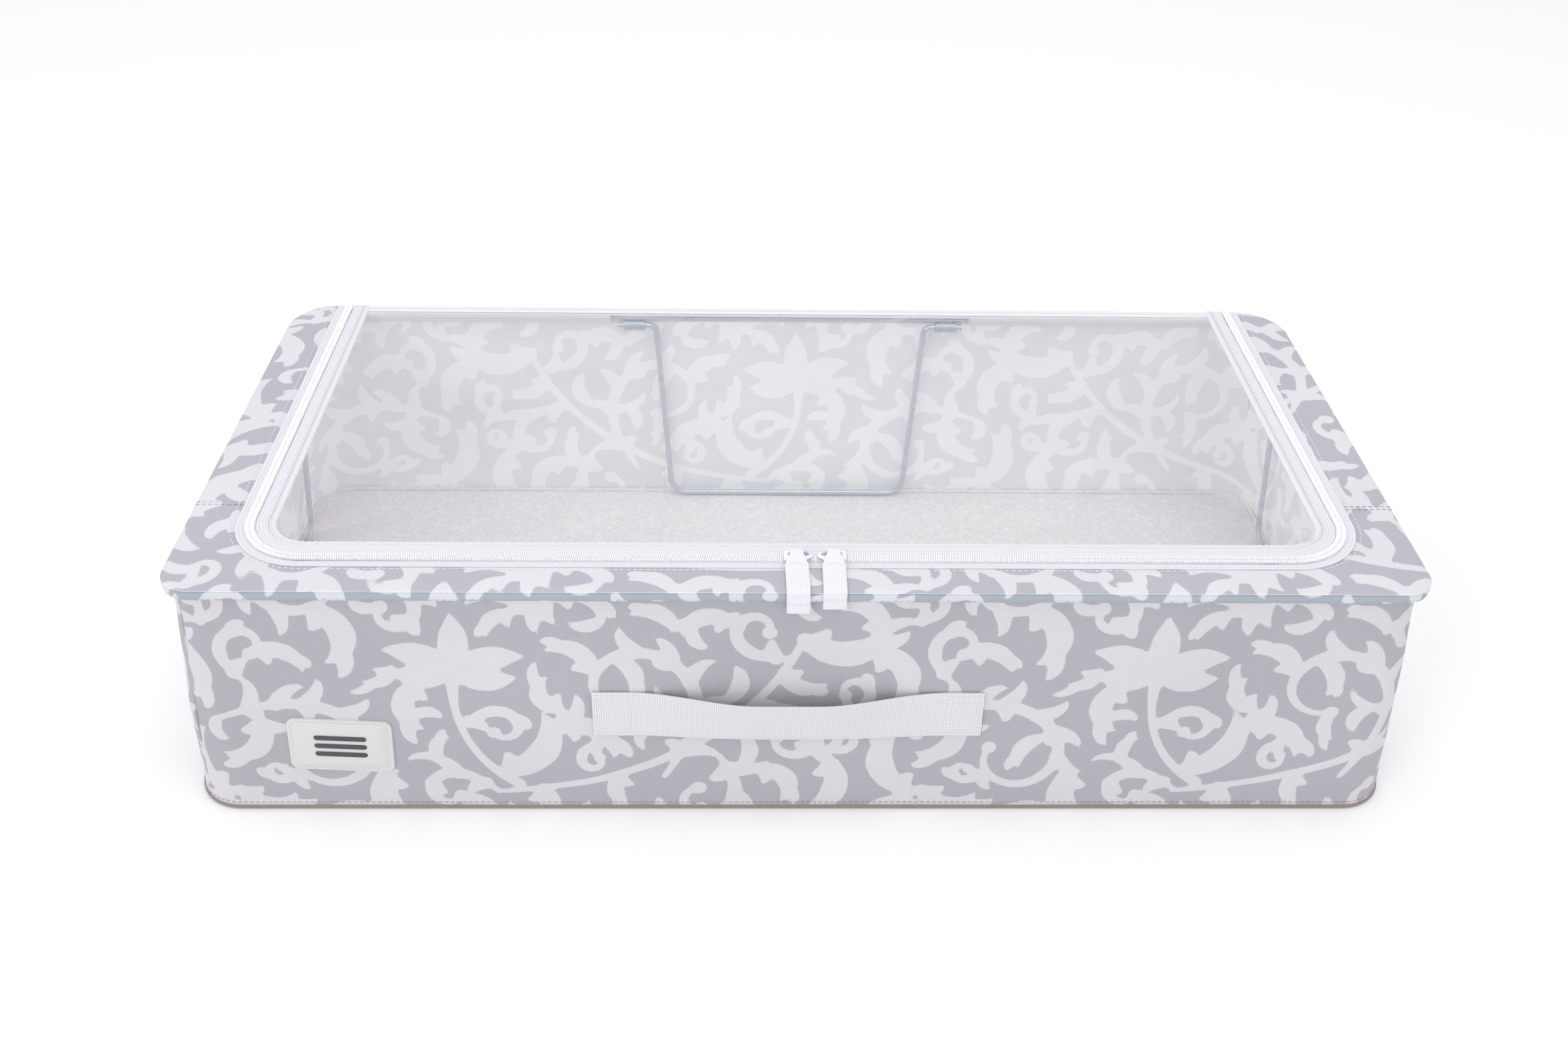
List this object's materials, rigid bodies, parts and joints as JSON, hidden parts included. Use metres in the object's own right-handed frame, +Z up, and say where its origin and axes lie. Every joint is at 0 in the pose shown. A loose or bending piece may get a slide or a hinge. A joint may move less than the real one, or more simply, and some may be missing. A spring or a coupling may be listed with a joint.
{
  "type": "under bed storage box",
  "caption": "Low soft-sided storage box on a folding wire frame, with a clear zip-round lid, tape pulls, a webbing handle and a label patch.",
  "frame": {"origin": "middle of the base, on the floor that the box stands on", "axes": "+X along the long side, +Y from the handle side to the hinged side, +Z up"},
  "size_m": [0.718, 0.3459, 0.1692],
  "materials": {
    "printed_cloth": "matt woven",
    "base_cloth": "matt woven",
    "board": "matt",
    "lining": "matt non-woven",
    "spring_wire": "zinc plated satin",
    "crimp_sleeve": "zinc plated satin",
    "zip_tape": "matt woven",
    "zip_coil": "satin monofilament",
    "clear_window": "gloss soft sheet",
    "binding_tape": "matt woven",
    "slider_lacquer": "gloss lacquer",
    "bridge_steel": "satin",
    "tab_tape": "matt woven",
    "webbing": "matt woven",
    "label_rubber": "matt soft moulded",
    "label_mark": "matt soft moulded"
  },
  "bodies": {
    "root": {"bottom_panel": "base_cloth", "base_board": "board", "base_lining": "lining", "wall_front": "printed_cloth", "wall_back": "printed_cloth", "wall_left": "printed_cloth", "wall_right": "printed_cloth", "hem_front": "printed_cloth", "hem_back": "printed_cloth", "hem_left": "printed_cloth", "hem_right": "printed_cloth", "ring_wire": "spring_wire", "ring_ferrule": "spring_wire", "sleeves_front": "crimp_sleeve", "sleeves_back": "crimp_sleeve", "sleeves_left": "crimp_sleeve", "sleeves_right": "crimp_sleeve", "rim_front": "printed_cloth", "rim_left": "printed_cloth", "rim_right": "printed_cloth", "zip_tape_outer": "zip_tape", "zip_coil_outer": "zip_coil", "handle_strap": "webbing", "label_patch": "label_rubber", "label_emblem": "label_mark"},
    "lid": {"window_sheet": "clear_window", "window_binding": "binding_tape", "window_back_binding": "binding_tape", "zip_tape_inner": "zip_tape", "zip_coil_inner": "zip_coil"},
    "slider_left": {"slider_left": "slider_lacquer", "slider_bridge_left": "bridge_steel"},
    "tab_left": {"pull_tab_left": "tab_tape"},
    "slider_right": {"slider_right": "slider_lacquer", "slider_bridge_right": "bridge_steel"},
    "tab_right": {"pull_tab_right": "tab_tape"},
    "leg_front": {"leg_front": "spring_wire"},
    "leg_back": {"leg_back": "spring_wire"},
    "leg_left": {"leg_left": "spring_wire"},
    "leg_right": {"leg_right": "spring_wire"}
  },
  "joints": [
    {"name": "lid_hinge", "type": "hinge", "parent": "root", "child": "lid", "pos_m": [0, 0.1653, 0.16235], "axis": [-1, 0, 0], "range_deg": [0, 180]},
    {"name": "slider_left_slide", "type": "slide", "parent": "lid", "child": "slider_left", "axis": [-1, 0, 0], "range_m": [0, 0.266]},
    {"name": "slider_right_slide", "type": "slide", "parent": "lid", "child": "slider_right", "axis": [1, 0, 0], "range_m": [0, 0.251]},
    {"name": "tab_left_swing", "type": "hinge", "parent": "slider_left", "child": "tab_left", "pos_m": [-0.0018, -0.1348, 0.16748], "axis": [-1, 0, 0], "range_deg": [0, 170]},
    {"name": "tab_right_swing", "type": "hinge", "parent": "slider_right", "child": "tab_right", "pos_m": [0.017, -0.1348, 0.16748], "axis": [-1, 0, 0], "range_deg": [0, 170]},
    {"name": "leg_front_fold", "type": "hinge", "parent": "root", "child": "leg_front", "pos_m": [0, -0.15618, 0.15338], "axis": [1, 0, 0], "range_deg": [0, 90]},
    {"name": "leg_back_fold", "type": "hinge", "parent": "root", "child": "leg_back", "pos_m": [0, 0.15618, 0.15338], "axis": [-1, 0, 0], "range_deg": [0, 90]},
    {"name": "leg_left_fold", "type": "hinge", "parent": "root", "child": "leg_left", "pos_m": [-0.34118, 0, 0.15338], "axis": [0, -1, 0], "range_deg": [0, 90]},
    {"name": "leg_right_fold", "type": "hinge", "parent": "root", "child": "leg_right", "pos_m": [0.34118, 0, 0.15338], "axis": [0, 1, 0], "range_deg": [0, 90]}
  ]
}
